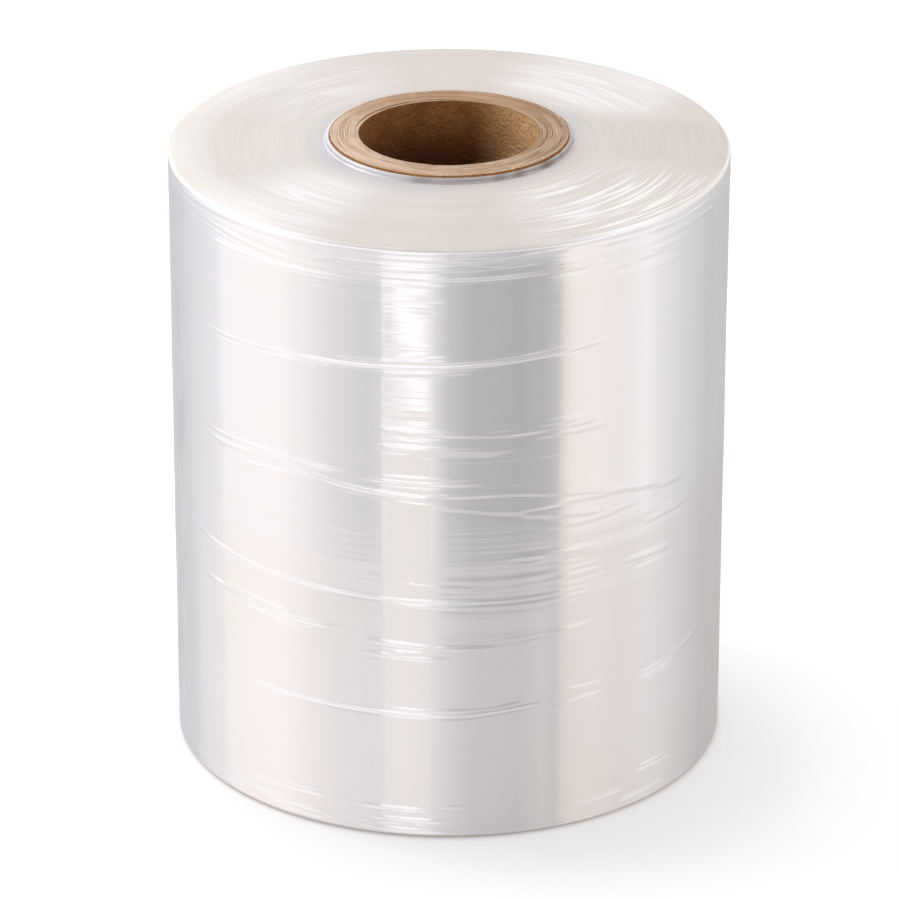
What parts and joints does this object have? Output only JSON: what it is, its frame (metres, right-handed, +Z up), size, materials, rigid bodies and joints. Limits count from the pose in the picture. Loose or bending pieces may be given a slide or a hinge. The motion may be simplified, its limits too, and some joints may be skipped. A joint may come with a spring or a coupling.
{
  "type": "stretch wrap roll",
  "caption": "Roll of clear stretch film wound tight on a thick board core with an open bore, standing on its end; for wrapping goods and pallets by hand tool or wrapping machine.",
  "frame": {"origin": "on the roll's axis, in the plane of the foot that it stands on", "axes": "+Z up along the roll's axis, from the foot to the head where the core stands proud; -Y towards the viewer of the picture"},
  "size_m": [0.2382, 0.2382, 0.2729],
  "materials": {
    "clear_film": "gloss",
    "kraft_board": "matt"
  },
  "bodies": {
    "root": {"film_roll": "clear_film", "board_core": "kraft_board"}
  },
  "joints": []
}
